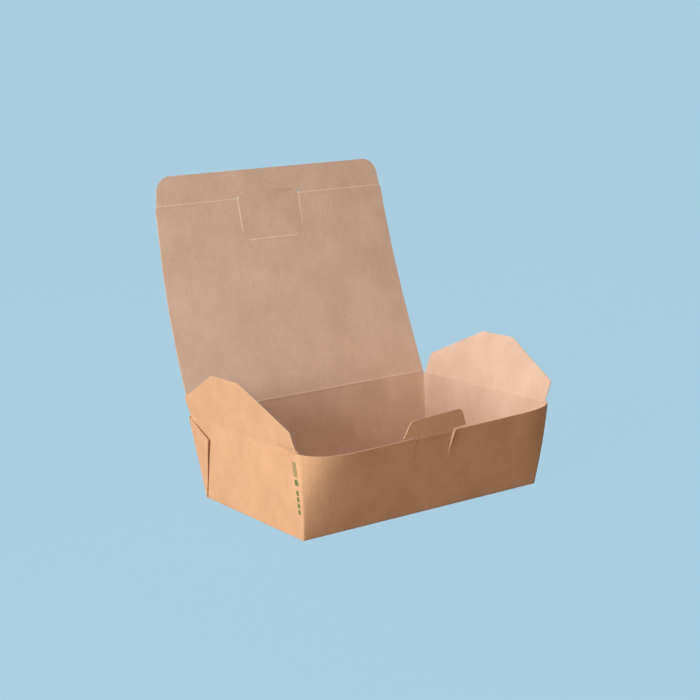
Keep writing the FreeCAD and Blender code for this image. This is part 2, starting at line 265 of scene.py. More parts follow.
class Panel:
    """One sheet of board as a grid: rows run along it and columns across it, spread evenly between knot
    lines."""

    def __init__(self, rows, knots, step, shape, facing, holes=(), shift=0.0):
        """knots are the across values of each knot line at every row. shape turns the grids of across and
        along into points of the sheet's middle. facing is the way the outside looks. holes are (knot gap,
        first row value) where cells are left out. shift is how far up the flat sheet the panel starts."""
        knots = [np.broadcast_to(knot, rows.shape) for knot in knots]
        columns = []
        gap_of = []
        for gap, (low, high) in enumerate(zip(knots[:-1], knots[1:])):
            count = max(1, int(round(np.abs(high - low).max() / step)))
            shares = np.linspace(0, 1, count + 1)[:-1]
            columns.append(low[:, None] + (high - low)[:, None] * shares)
            gap_of += [gap] * count
        columns.append(knots[-1][:, None])
        across = np.concatenate(columns, axis=1)
        along = np.broadcast_to(rows[:, None], across.shape)
        height, width = across.shape
        self.points = shape(across, along).reshape(-1, 3)
        self.flat = np.stack([across, along + shift, along], -1).reshape(-1, 3)
        index = np.arange(height * width).reshape(height, width)
        cells = np.stack([index[:-1, :-1], index[:-1, 1:], index[1:, 1:], index[1:, :-1]], -1)
        kept = np.ones(cells.shape[:2], bool)
        middle_rows = (rows[:-1] + rows[1:]) / 2
        for gap, first in holes:
            kept[np.ix_(middle_rows > first, np.array(gap_of) == gap)] = False
        self.quads = cells[kept].reshape(-1, 4)
        if (self.normals() @ np.asarray(facing, float)).sum() < 0:
            self.quads = self.quads[:, ::-1]

    def normals(self):
        """Each vertex's normal: the sum of its cells' cross products of diagonals, made unit length."""
        corner = self.points[self.quads]
        cross = np.cross(corner[:, 2] - corner[:, 0], corner[:, 3] - corner[:, 1])
        total = np.zeros_like(self.points)
        for k in range(4):
            np.add.at(total, self.quads[:, k], cross)
        return total / np.maximum(np.linalg.norm(total, axis=1, keepdims=True), SHORTEST_NORMAL)

    def solid(self):
        """The closed sheet: its middle moved out and in by half the thickness, and a wall round each free
        edge. A free edge is one that a single cell has."""
        used, inverse = np.unique(self.quads, return_inverse=True)
        quads = inverse.reshape(self.quads.shape)
        shift = (self.normals() * sizes().board / 2)[used]
        points = np.concatenate([self.points[used] + shift, self.points[used] - shift])
        flat = np.concatenate([self.flat[used], self.flat[used]])
        count = len(used)
        edges = np.stack([quads, np.roll(quads, -1, axis=1)], -1).reshape(-1, 2)
        keys = np.sort(edges, axis=1)
        _, first, times = np.unique(keys, axis=0, return_index=True, return_counts=True)
        free = edges[first[times == 1]]
        rim = np.stack([free[:, 1], free[:, 0], free[:, 0] + count, free[:, 1] + count], -1)
        faces = np.concatenate([quads, quads[:, ::-1] + count, rim])
        slots = np.repeat([OUTSIDE, INSIDE, EDGE], [len(quads), len(quads), len(rim)])
        sharp = np.concatenate([free, free + count])
        return points, flat, faces, slots, sharp


def board_object(name, panels, materials):
    """One mesh of several closed sheets, with the kraft board's material slot. Its two maps hold each
    point's place on the flat sheet and its distance from the panel's crease, in metres."""
    parts = [[], [], [], [], []]
    offset = 0
    for panel in panels:
        points, flat, faces, slots, sharp = panel.solid()
        for part, values in zip(parts, (points, flat, faces + offset, slots, sharp + offset)):
            part.append(values)
        offset += len(points)
    points, flat, faces, slots, sharp = (np.concatenate(part) for part in parts)
    mesh = bpy.data.meshes.new(name)
    mesh.from_pydata(points.tolist(), [], faces.tolist())
    for material in materials:
        mesh.materials.append(material)
    mesh.polygons.foreach_set("material_index", slots.astype(np.int32))
    mesh.polygons.foreach_set("use_smooth", np.ones(len(faces), bool))
    for title, columns in (("flat_sheet", (0, 1)), ("from_crease", (0, 2))):
        layer = mesh.uv_layers.new(name=title)
        layer.data.foreach_set("uv", flat[faces.ravel()][:, columns].astype(np.float32).ravel())
    pairs = np.zeros(len(mesh.edges) * 2, np.int32)
    mesh.edges.foreach_get("vertices", pairs)
    pairs = np.sort(pairs.reshape(-1, 2), axis=1).astype(np.int64)
    sharp = np.sort(sharp, axis=1).astype(np.int64)
    marked = np.isin(pairs[:, 0] * offset + pairs[:, 1], sharp[:, 0] * offset + sharp[:, 1])
    mesh.attributes.new("sharp_edge", "BOOLEAN", "EDGE").data.foreach_set("value", marked)
    mesh.update()
    if mesh.validate():
        raise RuntimeError(f"{name} has faces or edges that Blender had to mend")
    piece = link(bpy.data.objects.new(name, mesh))
    return piece


def body_board(body, panels, printed=False):
    """The piece of board that stands for a whole body of the box and moves with it."""
    piece = board_object(body + "_board", panels, board_materials(printed=printed))
    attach(piece, body)
    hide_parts(body)


# The board's materials.

# The patterns on the flat sheet: spacing across and along it in mm, then the noise's detail and roughness.
# Single fibres are finer than this, and are drawn 0.4 mm wide so that they show.
PATTERNS = {
    "cloud": (26, 34, 3.0, 0.55),
    "streak": (1.1, 11, 3.0, 0.6),
    "fibre": (0.42, 2.6, 4.0, 0.65),
    "cross_fibre": (2.2, 0.5, 3.0, 0.6),
}

# How each pattern tints the face: the values between which it grows, its most, its blending and its tint.
TINTS = (
    ("cloud", 0.35, 0.65, 1.0, "MULTIPLY", "#F3F0ED"),
    ("streak", 0.42, 0.72, 0.5, "MULTIPLY", "#EFEAE5"),
    ("fibre", 0.52, 0.74, 0.65, "MULTIPLY", "#E7DFD7"),
    ("fibre", 0.44, 0.28, 0.5, "SCREEN", "#615B52"),
    ("cross_fibre", 0.62, 0.78, 0.5, "SCREEN", "#595550"),
)

# Bark specks, 6 mm or so apart, with their size as a share of that.
SPECK_SPACING = (5.5, 6.5)
SPECK_CORE, SPECK_RIM = 0.045, 0.075
SPECK_STRENGTH = 0.55
SPECK_COLOUR = "#6B4530"

# The pale line of a crease, as distances from its middle, and how the streaks break it.
CREASE_CORE, CREASE_RIM = 0.2 * MM, 0.65 * MM
CREASE_BREAKS = (0.35, 0.6)
CREASE_LEAST = 0.6

# How the fibres break the ink.
INK_BREAKS = (0.3, 0.75)
INK_LEAST = 0.75

# Cellulose has an IOR of 1.47. The outside is bare and rough, and the inside is taken to have the usual thin
# grease-proof coat, which makes it smoother.
ROUGHNESS_CLOUD = (0.3, 0.7)
ROUGHNESS_SPREAD = 0.05
BUMP_STRENGTH = 0.35
BOARD_GLOSS = {"IOR": 1.47, "Specular IOR Level": 0.35, "Sheen Weight": 0.08, "Sheen Roughness": 0.6}
OUTSIDE_ROUGHNESS, INSIDE_ROUGHNESS = 0.78, 0.42
OUTSIDE_FIBRES, INSIDE_FIBRES = 0.05 * MM, 0.03 * MM

# The cut edge's broken fibres, drawn 0.8 mm apart so that they show.
CUT_GRAIN = (0.8, 0.8)
CUT_GRAIN_RANGE = (0.4, 0.7)
CUT_TINT = "#E7E2DD"
CUT_NOISE = {"Scale": 1.0, "Detail": 3.0, "Roughness": 0.6}
CUT_GLOSS = {"Roughness": 0.9, "IOR": 1.47, "Specular IOR Level": 0.2}
CUT_BUMP_STRENGTH = 0.4
CUT_FIBRES = 0.1 * MM

# The printed mark: its place from front to back, its slant, and the wall it is on. Each bar or square has
# its lowest and highest level, its width and how far it stands aside, in mm.
PRINT_PLACE = -64.2 * MM
PRINT_SLANT = 0.06
PRINT_WALL = -97 * MM
PRINT_BARS = (
    (44.5, 55, 0.9, 1.6), (44.5, 55, 0.9, 0), (44.5, 55, 0.9, -1.6), (38.6, 42.8, 4.4, 0),
    (31.8, 35.2, 3.2, 0), (27.4, 30.8, 3.2, 0), (23.0, 26.4, 3.2, 0), (18.6, 22.0, 3.2, 0),
)


def add_node(tree, kind, output, inputs=None, **settings):
    """Adds a node with its settings and its inputs' values, and gives back the named output, or the node
    itself where none is named. A value that is itself a socket becomes a link."""
    node = tree.nodes.new("ShaderNode" + kind)
    for name, value in settings.items():
        setattr(node, name, value)
    for name, value in (inputs or {}).items():
        if isinstance(value, bpy.types.NodeSocket):
            tree.links.new(value, node.inputs[name])
        else:
            node.inputs[name].default_value = value
    return node.outputs[output] if output else node


def pattern_scale(across, along):
    """A mapping's scale for a pattern with this spacing in mm: one over the spacing in metres."""
    return 1 / (across * MM), 1 / (along * MM), 1.0


def new_tree(name):
    """A new material and its emptied node tree."""
    material = bpy.data.materials.new(name)
    material.use_nodes = True
    material.node_tree.nodes.clear()
    return material, material.node_tree


def print_mask(tree):
    """One inside the plain bars and the square of the mark on the left end wall, by height and by distance
    back."""
    place = add_node(tree, "TexCoord", "Object")
    split = add_node(tree, "SeparateXYZ", None, {"Vector": place}).outputs
    mask = 0.0
    for low, high, width, aside in np.array(PRINT_BARS) * MM:
        centre = PRINT_PLACE - low * PRINT_SLANT + aside
        tall = add_node(tree, "Math", "Value", {0: split["Z"], 1: (low + high) / 2, 2: (high - low) / 2},
                        operation="COMPARE")
        wide = add_node(tree, "Math", "Value", {0: split["Y"], 1: centre, 2: width / 2}, operation="COMPARE")
        both = add_node(tree, "Math", "Value", {0: tall, 1: wide}, operation="MULTIPLY")
        mask = add_node(tree, "Math", "Value", {0: both, 1: mask}, operation="MAXIMUM")
    left = add_node(tree, "Math", "Value", {0: split["X"], 1: PRINT_WALL}, operation="LESS_THAN")
    return add_node(tree, "Math", "Value", {0: mask, 1: left}, operation="MULTIPLY")


def kraft_board(name, colour, roughness, fibre_depth, crease=0.0, printed=False):
    """Unbleached kraft board, machine made and calendered: a matt brown face with cloudy formation, long
    pale and dark fibres that lie mostly along the sheet, and a few dark specks of bark. It has almost no
    gloss."""
    material, tree = new_tree(name)
    flat = add_node(tree, "UVMap", "UV", uv_map="flat_sheet")
    pattern = {}
    for title, (across, along, detail, rough) in PATTERNS.items():
        place = add_node(tree, "Mapping", "Vector", {"Vector": flat, "Scale": pattern_scale(across, along)})
        pattern[title] = add_node(tree, "TexNoise", "Fac",
                                  {"Vector": place, "Scale": 1.0, "Detail": detail, "Roughness": rough})
    shade = tuple(colour)
    for title, low, high, most, blending, tint in TINTS:
        share = add_node(tree, "MapRange", "Result",
                         {"Value": pattern[title], "From Min": low, "From Max": high, "To Max": most})
        shade = add_node(tree, "Mix", "Result", {"Factor": share, "A": shade, "B": srgb(tint)},
                         data_type="RGBA", blend_type=blending)
    place = add_node(tree, "Mapping", "Vector", {"Vector": flat, "Scale": pattern_scale(*SPECK_SPACING)})
    speck = add_node(tree, "TexVoronoi", "Distance", {"Vector": place, "Scale": 1.0, "Randomness": 1.0})
    speck = add_node(tree, "MapRange", "Result", {
        "Value": speck, "From Min": SPECK_CORE, "From Max": SPECK_RIM,
        "To Min": SPECK_STRENGTH, "To Max": 0.0})
    shade = add_node(tree, "Mix", "Result", {"Factor": speck, "A": shade, "B": srgb(SPECK_COLOUR)},
                     data_type="RGBA")
    if crease:
        # Along a crease the stretched fibres have broken, which leaves a thin pale line with gaps in it.
        near = add_node(tree, "UVMap", "UV", uv_map="from_crease")
        along = add_node(tree, "SeparateXYZ", "Y", {"Vector": near})
        away = add_node(tree, "Math", "Value", {0: along}, operation="ABSOLUTE")
        line = add_node(tree, "MapRange", "Result", {
            "Value": away, "From Min": CREASE_CORE, "From Max": CREASE_RIM, "To Min": crease, "To Max": 0.0})
        broken = add_node(tree, "MapRange", "Result", {
            "Value": pattern["streak"], "From Min": CREASE_BREAKS[0], "From Max": CREASE_BREAKS[1],
            "To Min": 1.0, "To Max": CREASE_LEAST})
        line = add_node(tree, "Math", "Value", {0: line, 1: broken}, operation="MULTIPLY")
        shade = add_node(tree, "Mix", "Result", {"Factor": line, "A": shade, "B": tuple(colours().crease)},
                         data_type="RGBA")
    if printed:
        worn = add_node(tree, "MapRange", "Result", {
            "Value": pattern["fibre"], "From Min": INK_BREAKS[0], "From Max": INK_BREAKS[1],
            "To Min": 1.0, "To Max": INK_LEAST})
        ink = add_node(tree, "Math", "Value", {0: print_mask(tree), 1: worn}, operation="MULTIPLY")
        shade = add_node(tree, "Mix", "Result", {"Factor": ink, "A": shade, "B": tuple(colours().ink)},
                         data_type="RGBA")
    rough = add_node(tree, "MapRange", "Result", {
        "Value": pattern["cloud"], "From Min": ROUGHNESS_CLOUD[0], "From Max": ROUGHNESS_CLOUD[1],
        "To Min": roughness - ROUGHNESS_SPREAD, "To Max": roughness + ROUGHNESS_SPREAD})
    relief = add_node(tree, "Math", "Value", {0: pattern["fibre"], 1: pattern["streak"]}, operation="ADD")
    bump = add_node(tree, "Bump", "Normal",
                    {"Height": relief, "Strength": BUMP_STRENGTH, "Distance": fibre_depth})
    shader = add_node(tree, "BsdfPrincipled", "BSDF",
                      {"Base Color": shade, "Roughness": rough, "Normal": bump, **BOARD_GLOSS})
    add_node(tree, "OutputMaterial", None, {"Surface": shader})
    return material


def cut_board(name, colour):
    """The knife-cut edge of the board: bare, broken fibres, paler and rougher than its faces."""
    material, tree = new_tree(name)
    place = add_node(tree, "TexCoord", "Object")
    place = add_node(tree, "Mapping", "Vector", {"Vector": place, "Scale": pattern_scale(*CUT_GRAIN)})
    grain = add_node(tree, "TexNoise", "Fac", {"Vector": place, **CUT_NOISE})
    share = add_node(tree, "MapRange", "Result",
                     {"Value": grain, "From Min": CUT_GRAIN_RANGE[0], "From Max": CUT_GRAIN_RANGE[1]})
    shade = add_node(tree, "Mix", "Result", {"Factor": share, "A": tuple(colour), "B": srgb(CUT_TINT)},
                     data_type="RGBA", blend_type="MULTIPLY")
    bump = add_node(tree, "Bump", "Normal",
                    {"Height": grain, "Strength": CUT_BUMP_STRENGTH, "Distance": CUT_FIBRES})
    shader = add_node(tree, "BsdfPrincipled", "BSDF", {"Base Color": shade, "Normal": bump, **CUT_GLOSS})
    add_node(tree, "OutputMaterial", None, {"Surface": shader})
    return material


def board_materials(crease=0.0, printed=False):
    """The outside, inside and cut edge of the board, made once and shared by every panel. A crease's board
    has its own two faces, with a pale line of that strength."""
    tag = f"_creased_{round(crease * 100)}" if crease else ""
    names = ("kraft_outside" + tag + "_printed" * printed, "kraft_inside" + tag, "kraft_cut_edge")
    made = [bpy.data.materials.get(name) for name in names]
    if made[0] is None:
        made[0] = kraft_board(names[0], colours().outside, OUTSIDE_ROUGHNESS, OUTSIDE_FIBRES, crease / 2,
                              printed)
    if made[1] is None:
        made[1] = kraft_board(names[1], colours().inside, INSIDE_ROUGHNESS, INSIDE_FIBRES, crease)
    if made[2] is None:
        made[2] = cut_board(names[2], colours().edge)
    return made


# The tray.

# The base ends this far inside its folds. A fold bends over FOLD_REACH on both sides.
BASE_MARGIN = 3 * MM
FOLD_REACH = 0.9 * MM
FOLD_END = 1.5 * MM
FOLD_ROWS = np.linspace(-1.5, 1.5, 9) * MM

# At the back corners the back wall turns forwards over CORNER_REACH, just outside the end walls. These stop
# short of the front and back walls by the two gaps. FOOT_EASE and BASE_EASE are where slow waves fade out.
CORNER_REACH = 0.9 * MM
CORNER_OUT = 0.75 * MM
FOOT_EASE = 8 * MM
BASE_EASE = 12 * MM
END_FRONT_GAP = 1.2 * MM
END_BACK_GAP = 0.45 * MM

# The powers of the front rim's curves. The wall at the tab is longer along its slope than it is high.
BOW_POWER, BOW_POWER_TILT = 11, 3
DROP_POWER = 9
WALL_SLANT = 1.04


def flare(part):
    """The middle of an end wall and of the front and back walls at a share of the height, from the
    centre."""
    s = sizes()
    half_x = (s.base_length + (s.top_length - s.base_length) * part - s.board) / 2
    half_y = (s.base_width + (s.top_width - s.base_width) * part - s.board) / 2
    return half_x, half_y


def sheet_place(body):
    """How far up the flat sheet a body's panel starts, so that its fibres run on across the creases: the
    slanted length of the wall below it, and for the lid's parts the lid's own length too."""
    s = sizes()
    back = math.hypot(WALL_HEIGHT, (s.top_width - s.base_width) / 2)
    depth = lid_frame()[2]
    end = math.hypot(WALL_HEIGHT, (s.top_length - s.base_length) / 2)
    return {
        "lid": back,
        "tuck_flap": back + depth,
        "slot_flap": back + depth - SLOT_LENGTH,
        "left_end_flap": end,
        "right_end_flap": end,
        "lock_tab": TAB_HINGE[2] * WALL_SLANT,
    }[body]


def rim_curve(across, middle, tilt, power):
    """A curve along the front rim: its height in the middle, tilted from left to right, times one less a
    high power of the distance from the middle, so that it rises quickly beside each corner."""
    share = np.clip(across / (sizes().top_length / 2), -1, 1)
    return (middle - tilt * share) * (1 - np.abs(share) ** power(share))


def front_reach(across):
    """How far the front rim stands in front of its corners."""
    s = sizes()
    return rim_curve(across, s.front_bow, s.bow_tilt, lambda share: BOW_POWER + BOW_POWER_TILT * share)


def front_drop(across):
    """How far the front rim lies under the corners' level."""
    s = sizes()
    return rim_curve(across, s.rim_drop, s.rim_drop_tilt, lambda share: DROP_POWER)


def back_wall():
    """The back wall: its foot on the base, its fold and its flare, ending where the lid's crease strip
    starts. Its ends turn round the back corners."""
    s = sizes()
    half_x0, half_y0 = flare(0)
    half_x1, half_y1 = flare(1)
    up = unit([0, half_y1 - half_y0, WALL_HEIGHT - s.board / 2])
    inward = np.array([0, -up[2], up[1]])
    top = LID_HINGE - up * s.crease_reach
    length = (top[2] - s.board / 2) / up[2]
    rows = row_values(-BASE_MARGIN, length, s.grid_step, FOLD_ROWS)
    part = np.clip(rows * up[2] / WALL_HEIGHT, 0, 1)
    corner_half = half_x0 + (half_x1 - half_x0) * part + CORNER_OUT
    half = np.where(rows < 0, half_x0 + rows, corner_half + CORNER_REACH)

    def shape(across, along):
        wall = bend(along, np.array([0, half_y0, s.board / 2]), Y_AXIS, up, FOLD_REACH)
        wall = wall + waviness(across, along, seed=5, depth=0.25 * MM)[..., None] * inward
        limit = np.broadcast_to(corner_half[:, None], across.shape)
        beyond = np.where(along > 0, np.abs(across) - limit, -1.0)
        turned = bend(np.maximum(beyond, -limit), np.zeros(3), X_AXIS, -Y_AXIS, CORNER_REACH)
        x = np.where(along > 0, np.sign(across) * (limit + turned[..., 0]), across)
        y = np.where(along > 0, wall[..., 1] + turned[..., 1], wall[..., 1])
        return np.stack([x, y, wall[..., 2]], -1)

    curl = half - CORNER_REACH * 2
    return Panel(rows, [-half, -curl, curl, half], s.grid_step, shape, Y_AXIS)


def end_wall(side):
    """An end wall: its foot on the base, its fold and its flare. The front wall's end wraps over its
    front."""
    s = sizes()
    hinge = LEFT_HINGE if side < 0 else RIGHT_HINGE
    half_x0, half_y0 = flare(0)
    half_x1, half_y1 = flare(1)
    up = unit([half_x1 - half_x0, 0, WALL_HEIGHT - s.board / 2])
    length = (hinge[2] - s.board / 2) / up[2] - s.crease_reach
    rows = row_values(-BASE_MARGIN, length, s.grid_step, FOLD_ROWS)
    part = np.clip(rows * up[2] / WALL_HEIGHT, 0, 1)
    half_y = half_y0 + (half_y1 - half_y0) * part
    front = np.where(rows < 0, half_y0 + rows, half_y - END_FRONT_GAP)
    back = np.where(rows < 0, half_y0 + rows, half_y - END_BACK_GAP)

    def shape(across, along):
        wall = bend(along, np.array([half_x0, 0, s.board / 2]), X_AXIS, up, FOLD_REACH)
        sway = waviness(across, along, seed=11 + side, depth=0.2 * MM)[..., None]
        wall = wall + sway * X_AXIS * smooth(along / FOOT_EASE)[..., None]
        return np.stack([wall[..., 0] * side, across, wall[..., 2]], -1)

    return Panel(rows, [-front, back], s.grid_step, shape, side * X_AXIS)


def base():
    """The flat middle of the base, inside the feet of the four walls. It lifts a little, by slow waves that
    fade out towards its edges."""
    s = sizes()
    half_x, half_y = (half - BASE_MARGIN for half in flare(0))
    rows = row_values(-half_y, half_y, s.grid_step * 2)

    def shape(across, along):
        lift = waviness(across, along, seed=3, depth=0.12 * MM)
        edge = np.minimum(half_x - np.abs(across), half_y - np.abs(along)) / BASE_EASE
        return np.stack([across, along, s.board / 2 + np.abs(lift) * smooth(edge)], -1)

    return Panel(rows, [-half_x, half_x], s.grid_step * 2, shape, (0, 0, -1))


# The tab's neck in the front wall, which sinks in a little towards its top, and the slits on both its sides.
TAB_NECK = 30 * MM
TAB_CREASE_REACH = 1.0 * MM
NECK_TOP = 0.93
NECK_SINK = 0.35 * MM
SLIT_DEPTH = 18 * MM
SLIT_CORNER = 3 * MM
SLIT_GAP = 0.3 * MM
SLIT_OPENS = 3 * MM
SLIT_CURL = 0.8 * MM
CURL_WIDE = 9 * MM
CURL_TIGHT, CURL_TIGHT_MORE = 1.3 * MM, 1.75
SLIT_KNOTS = np.array([6, 3, 2.2, 1.5, 0.9, 0.4, 0]) * MM

# The front wall's ends turn back round the front corners and wrap the end walls by CORNER_WRAP.
CORNER_KNOTS = (0.9, 0.45, 0, -0.45, -0.9)
CORNER_WRAP = 4 * MM
CORNER_EASE = 15 * MM
LEVEL_EASE = 12 * MM
SHARP_TURN = 0.1 * MM
WRAP_PROUD = 0.03 * MM
FRONT_FOLD_ROWS = np.linspace(-1.2, 1.5, 9) * MM
FRONT_ROWS = 27


def front_wall():
    """The front wall in three strips, left of the tab's neck, the neck and right of it, which part at the
    slits. Its level and its reach both grow in a straight line from the fold to the rim."""
    s = sizes()
    half_x0, half_y0 = flare(0)
    half_x1, half_y1 = flare(1)
    middle = TAB_HINGE[0]
    neck = TAB_NECK / 2
    slit_low = TAB_HINGE[2] - SLIT_DEPTH
    slant = math.hypot(WALL_HEIGHT, half_y1 - half_y0)
    foot_rows = np.concatenate([np.linspace(-BASE_MARGIN, -FOLD_END, 2), FRONT_FOLD_ROWS])
    rows = np.concatenate([foot_rows, np.linspace(FOLD_END, slant, FRONT_ROWS)[1:]])
    foot = rows < 0
    part = np.clip(rows / slant, 0, None)
    half = np.where(foot, half_x0 + rows, half_x0 + (half_x1 - half_x0) * part)
    turn = np.where(foot, SHARP_TURN, CORNER_REACH)

    def knots(kind):
        """The strip's knot lines: close together round the corner, where it wraps, and beside the slit."""
        scale = np.where(foot, (half_x0 + rows) / half_x0, 1.0)
        left, right = (middle - neck) * scale, (middle + neck) * scale
        gap = SLIT_GAP / 2 * smooth((part * WALL_HEIGHT - slit_low) / SLIT_OPENS)
        corner = [half + np.where(foot, 0, CORNER_WRAP)] + [half + turn * share for share in CORNER_KNOTS]
        near_slit = [distance * scale for distance in SLIT_KNOTS]
        if kind == 0:
            return [left + gap, right - gap]
        if kind < 0:
            return [-knot for knot in corner] + [left - gap - near for near in near_slit]
        return [right + gap + near for near in near_slit[::-1]] + corner[::-1]

    def strip(kind):
        """One strip: kind is -1 left of the neck, 0 for the neck and 1 right of it. Beside a slit the rim is
        rounded off, and right of the right slit the board curls out by two fading curves added up."""
        def shape(across, along):
            share = np.broadcast_to(part[:, None], across.shape)
            limit = np.broadcast_to(half[:, None], across.shape)
            on_wall = along > FOLD_END
            place = np.clip(across, -limit, limit)
            edge = np.where(kind < 0, (middle - neck) - across, across - (middle + neck))
            if kind == 0:
                top = np.full_like(across, TAB_HINGE[2] - TAB_CREASE_REACH * NECK_TOP)
            else:
                dip = np.clip(SLIT_CORNER - edge, 0, SLIT_CORNER)
                top = WALL_HEIGHT - front_drop(place / limit * half_x1)
                top = top - (SLIT_CORNER - np.sqrt(np.maximum(SLIT_CORNER ** 2 - dip ** 2, 0)))
            reach = half_y1 - half_y0 + front_reach(place)
            level = np.where(on_wall, share * top, along)
            slope = np.stack([np.zeros_like(across), -reach, np.full_like(across, WALL_HEIGHT)], -1)
            slope = slope / np.linalg.norm(slope, axis=-1, keepdims=True)
            low = bend(along, np.array([0, -half_y0, s.board / 2]), -Y_AXIS, slope, FOLD_REACH)
            y = np.where(on_wall, -half_y0 - reach * level / WALL_HEIGHT, low[..., 1])
            z = np.where(on_wall, s.board / 2 + level * (1 - s.board / 2 / WALL_HEIGHT), low[..., 2])
            inner = smooth((limit - np.abs(across)) / CORNER_EASE)
            y = y - waviness(across, along, seed=21, depth=0.25 * MM) * smooth(level / LEVEL_EASE) * inner
            rise = smooth((level - slit_low) / (WALL_HEIGHT - slit_low))
            if kind == 0:
                return np.stack([across, y + NECK_SINK * rise, z], -1)
            if kind > 0:
                away = np.maximum(edge, 0)
                curl = np.exp(-away / CURL_WIDE) + CURL_TIGHT_MORE * np.exp(-away / CURL_TIGHT)
                y = y - SLIT_CURL * rise * curl
            beyond = np.where(along > 0, np.abs(across) - limit, -1.0)
            turned = bend(np.maximum(beyond, -limit), np.zeros(3), X_AXIS, Y_AXIS, turn[:, None, None])
            rolled = beyond > -CORNER_REACH
            proud = WRAP_PROUD * smooth(beyond / CORNER_REACH)
            x = np.where(rolled, np.sign(across) * (limit + turned[..., 0] + proud), across)
            y = np.where(rolled, y + turned[..., 1], y)
            return np.stack([x, y, z], -1)

        return Panel(rows, knots(kind), s.grid_step, shape, -Y_AXIS)

    return [strip(kind) for kind in (-1, 0, 1)]


# A lap is widest at LAP_LOW. Its layers' middles lie LAP_LAYERS boards' thicknesses off the wall's middle.
LAP_FOOT = 0.8 * MM
LAP_REACH = 26 * MM
LAP_LOW = 48.3 * MM
LAP_HIGH = 60 * MM
LAP_CROWN = 1.6 * MM
LAP_CORNER = 0.6 * MM
LAP_START = 0.5 * MM
LAP_LEAST = 0.2 * MM
LAP_LIFTS_BY = 1.2
INNER_LAP_LIFT = 0.1 * MM
LAP_LAYERS = (1.05, 2.1)
LOWER_LAYER_CUT = 1.5 * MM


def lap(side, outside):
    """A folded corner's lap, two boards thick. Its width grows in a straight line up to its free corner and
    then shrinks along a slightly crowned top. Outside at the back it stands off the wall towards its free
    edge."""
    s = sizes()
    half_x0, half_y0 = flare(0)
    half_x1, half_y1 = flare(1)
    rows = row_values(LAP_FOOT, LAP_HIGH, s.grid_step,
                      [LAP_LOW, LAP_LOW - LAP_CORNER, LAP_LOW + LAP_CORNER])
    fall = np.clip((rows - LAP_LOW) / (LAP_HIGH - LAP_LOW), 0, 1)
    crowned = LAP_REACH * (1 - fall) + LAP_CROWN * np.sin(fall * math.pi)
    width = np.where(rows < LAP_LOW, LAP_REACH * rows / LAP_LOW, crowned)
    width = np.maximum(width, LAP_START + LAP_LEAST)
    lift = s.lap_lift if outside else INNER_LAP_LIFT

    def layer(stand_from, rise, cut):
        """One board of the lap, from how far it stands off the wall, what it gains and what is cut off it."""
        def shape(across, along):
            part = along / WALL_HEIGHT
            share = np.clip(across / LAP_REACH, 0, 1)
            stand = stand_from + rise * smooth(share * LAP_LIFTS_BY) * smooth(along / LAP_LOW)
            wall_x = half_x0 + (half_x1 - half_x0) * part
            corner_y = half_y0 + (half_y1 - half_y0) * part
            x = wall_x + (stand if outside else -stand)
            y = (corner_y - across) if outside else -(corner_y - across)
            return np.stack([x * side, y, along], -1)

        edge = np.maximum(width - cut, LAP_START + LAP_LEAST / 2)
        return Panel(rows, [LAP_START, edge], s.grid_step, shape, side * X_AXIS)

    return [layer(s.board * LAP_LAYERS[0], 0, LOWER_LAYER_CUT), layer(s.board * LAP_LAYERS[1], lift, 0)]


class TAKEAWAY_OT_tray(bpy.types.Operator):
    """Builds the tray: base, four walls, the folded corners and the tab's neck"""

    bl_idname = "takeaway.tray"
    bl_label = "Tray"

    def execute(self, context):
        panels = [base(), back_wall(), end_wall(-1), end_wall(1), *front_wall()]
        for side in (-1, 1):
            panels += lap(side, True) + lap(side, False)
        body_board("tray", panels, printed=True)
        return {"FINISHED"}


# The lid, its strip and the slot flap.

# The lid narrows by its taper on each side. The slot flap is cut out of it with CUT_GAP to spare, and HAIR
# keeps two rows or corners just apart.
LID_TAPER, LID_TAPER_POWER = 4.6 * MM, 1.6
LID_EASE = 15 * MM
SLOT_WIDTH = 54 * MM
SLOT_LENGTH = 31.5 * MM
SLOT_CREASE = 43 * MM
SLOT_SHOULDER = 8 * MM
SLOT_SHOULDER_IN = 0.6 * MM
SLOT_RADII = (5 * MM, 0.8 * MM)
SLOT_TWIST = 0.7 * MM
BUMP_HEIGHT = 4.4 * MM
BUMP_SLOPE = 4.5 * MM
CUT_GAP = 0.05 * MM
STRIP_CORNER = 12.5 * MM
STRIP_OVERHANG = 0.9 * MM
STRIP_NARROWS = 3 * MM
STRIP_FLAT = 20 * MM
STRIP_ARC_STEPS = 12
STRIP_ROW_STEP, STRIP_STEP = 1.5 * MM, 2 * MM
STRIP_EASE = 12 * MM
SLOT_ROW_STEP = 2 * MM
TWIST_EASE = 14 * MM
HAIR = 0.01 * MM


def lid_frame():
    """The lid's direction from crease to crease, the way its inside faces, and its length."""
    chord = STRIP_HINGE - LID_HINGE
    along = unit(chord)
    return along, np.cross(X_AXIS, along), float(np.linalg.norm(chord))


def lid_heading(distance):
    """The way the bowed lid runs at a distance from its crease: the chord turned by the bow's slope, which
    is four bows over the lid's length, times the share of the way from the middle."""
    along, inward, depth = lid_frame()
    share = distance * 2 / depth - 1
    slope = math.atan2(-4 * sizes().lid_bow * share, depth)
    return along * math.cos(slope) - inward * math.sin(slope)


def strip_heading():
    """The way the tuck strip runs: the lid's chord, tilted forwards."""
    along, inward, _ = lid_frame()
    tilt = sizes().strip_tilt
    return along * math.cos(tilt) + inward * math.sin(tilt)


def slot_heading():
    """The way the slot flap runs, straight from its hinge to the strip's crease above it, and how far that
    is."""
    chord = STRIP_HINGE + X_AXIS * SLOT_HINGE[0] - SLOT_HINGE
    return unit(chord), float(np.linalg.norm(chord))


def lid_bow_at(along, depth):
    """How far behind the chord the lid lies: a circular arc's depth, which is near enough a parabola
    here."""
    share = along * 2 / depth - 1
    return sizes().lid_bow * (1 - share * share)


